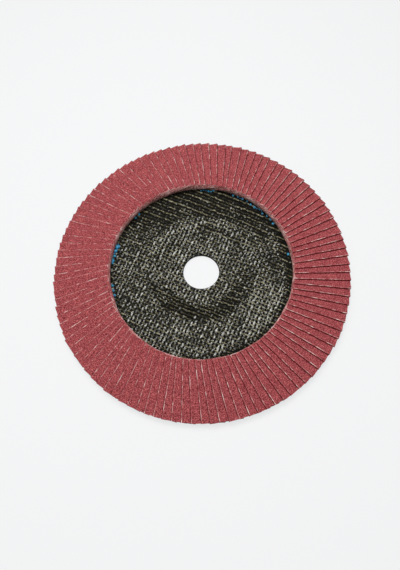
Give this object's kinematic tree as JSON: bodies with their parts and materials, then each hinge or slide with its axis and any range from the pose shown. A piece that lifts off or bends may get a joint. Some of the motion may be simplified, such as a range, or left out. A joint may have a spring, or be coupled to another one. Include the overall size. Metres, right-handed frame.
{
  "type": "flap disc",
  "caption": "Abrasive flap disc with overlapping cloth flaps glued in a ring onto a woven glass-fibre plate with a depressed hub and a plain bore.",
  "frame": {"origin": "centre of the bore at the back of the hub", "axes": "+Z along the bore axis, from the back of the hub to the working side of the flaps; +X along the middle of the first flap"},
  "size_m": [0.18, 0.18, 0.0115],
  "materials": {
    "resin_mesh": "dark resin over woven glass mesh, semi-gloss, with the weave in relief",
    "epoxy": "hard blue epoxy, glossy",
    "abrasive_cloth": "resin-bonded grain on cloth, matt, fine-grained"
  },
  "bodies": {
    "root": {"adhesive": "epoxy", "backing_plate": "resin_mesh", "flap_pair_01": "abrasive_cloth", "flap_pair_02": "abrasive_cloth", "flap_pair_03": "abrasive_cloth", "flap_pair_04": "abrasive_cloth", "flap_pair_05": "abrasive_cloth", "flap_pair_06": "abrasive_cloth", "flap_pair_07": "abrasive_cloth", "flap_pair_08": "abrasive_cloth", "flap_pair_09": "abrasive_cloth", "flap_pair_10": "abrasive_cloth", "flap_pair_11": "abrasive_cloth", "flap_pair_12": "abrasive_cloth", "flap_pair_13": "abrasive_cloth", "flap_pair_14": "abrasive_cloth", "flap_pair_15": "abrasive_cloth", "flap_pair_16": "abrasive_cloth", "flap_pair_17": "abrasive_cloth", "flap_pair_18": "abrasive_cloth", "flap_pair_19": "abrasive_cloth", "flap_pair_20": "abrasive_cloth", "flap_pair_21": "abrasive_cloth", "flap_pair_22": "abrasive_cloth", "flap_pair_23": "abrasive_cloth", "flap_pair_24": "abrasive_cloth", "flap_pair_25": "abrasive_cloth", "flap_pair_26": "abrasive_cloth", "flap_pair_27": "abrasive_cloth", "flap_pair_28": "abrasive_cloth", "flap_pair_29": "abrasive_cloth", "flap_pair_30": "abrasive_cloth", "flap_pair_31": "abrasive_cloth", "flap_pair_32": "abrasive_cloth", "flap_pair_33": "abrasive_cloth", "flap_pair_34": "abrasive_cloth", "flap_pair_35": "abrasive_cloth", "flap_pair_36": "abrasive_cloth", "flap_pair_37": "abrasive_cloth", "flap_pair_38": "abrasive_cloth", "flap_pair_39": "abrasive_cloth", "flap_pair_40": "abrasive_cloth", "flap_pair_41": "abrasive_cloth", "flap_pair_42": "abrasive_cloth", "flap_pair_43": "abrasive_cloth", "flap_pair_44": "abrasive_cloth", "flap_pair_45": "abrasive_cloth", "flap_pair_46": "abrasive_cloth", "flap_pair_47": "abrasive_cloth", "flap_pair_48": "abrasive_cloth", "flap_pair_49": "abrasive_cloth", "flap_pair_50": "abrasive_cloth", "flap_pair_51": "abrasive_cloth", "flap_pair_52": "abrasive_cloth", "flap_pair_53": "abrasive_cloth"}
  },
  "joints": []
}
